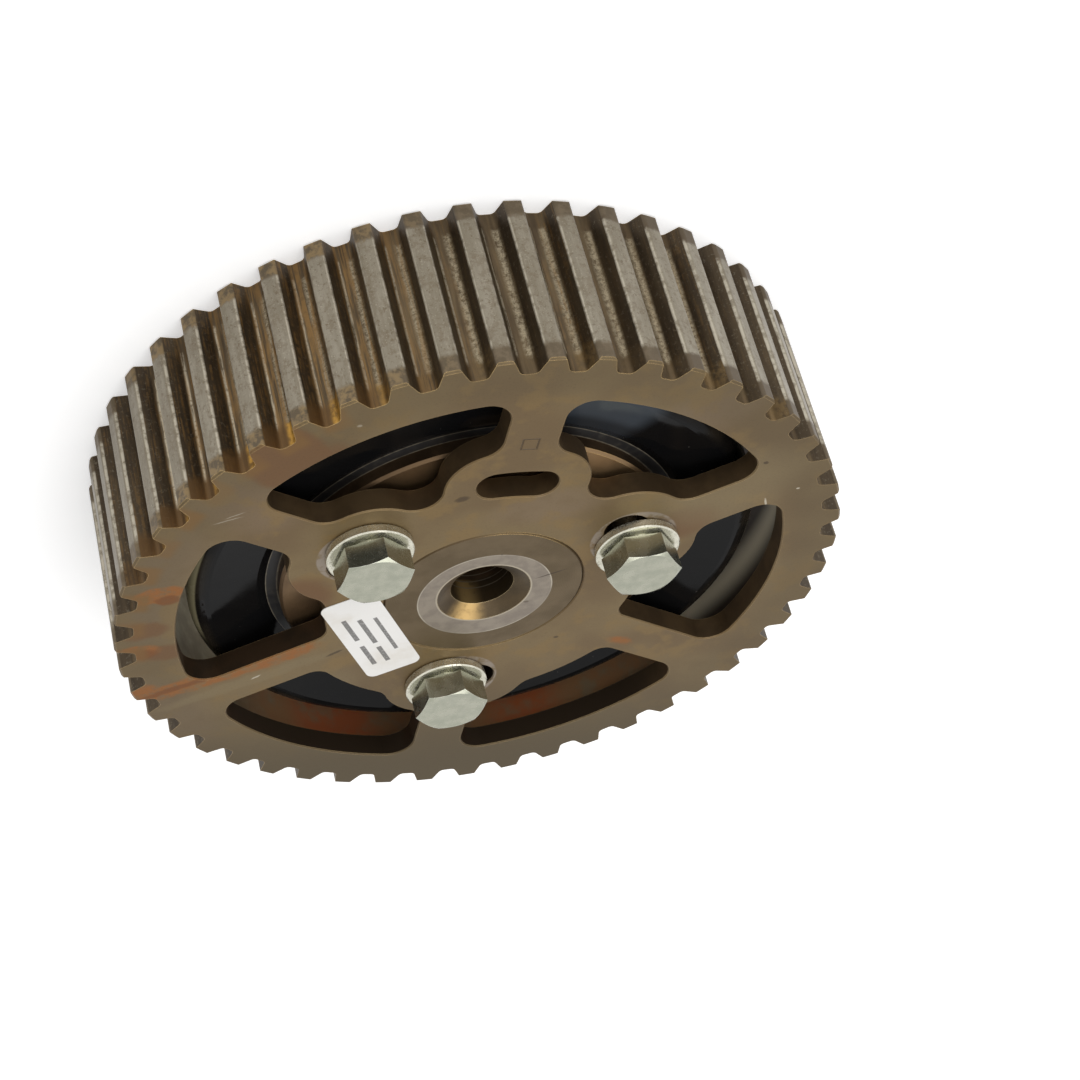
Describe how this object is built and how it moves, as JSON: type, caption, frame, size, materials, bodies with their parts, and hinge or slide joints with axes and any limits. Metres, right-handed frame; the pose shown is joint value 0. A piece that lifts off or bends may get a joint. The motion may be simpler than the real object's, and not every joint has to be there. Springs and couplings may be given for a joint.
{
  "type": "camshaft sprocket",
  "caption": "Adjustable camshaft timing sprocket with a toothed belt rim, a spoked web, slotted clamp holes and a damped hub.",
  "frame": {"origin": "on the shaft axis, in the plane of the rim's back edge, which the sprocket lies on", "axes": "+Z along the shaft axis towards the clamp bolt heads, +Y along the spoke that carries the first clamp bolt's slot"},
  "size_m": [0.1442, 0.1442, 0.0449],
  "materials": {
    "sintered_steel": "worn, oily, with rust in places",
    "hub_steel": "turned, oily",
    "zinc_steel": "pale zinc plating",
    "black_paint": "glossy black",
    "rubber": "satin",
    "label_paper": "matte"
  },
  "bodies": {
    "hub_side": {"hub": "hub_steel", "damper_rubber": "rubber", "inertia_ring": "black_paint", "clamp_bolt_1": "zinc_steel", "clamp_bolt_2": "zinc_steel", "clamp_bolt_3": "zinc_steel", "washer_1": "zinc_steel", "washer_2": "zinc_steel", "washer_3": "zinc_steel"},
    "wheel_side": {"toothed_wheel": "sintered_steel", "label": "label_paper"}
  },
  "joints": [
    {"name": "timing_adjustment", "type": "hinge", "parent": "hub_side", "child": "wheel_side", "pos_m": [0, 0, 0.035], "axis": [0, 0, 1], "range_deg": [-11.4, 2.2]}
  ]
}
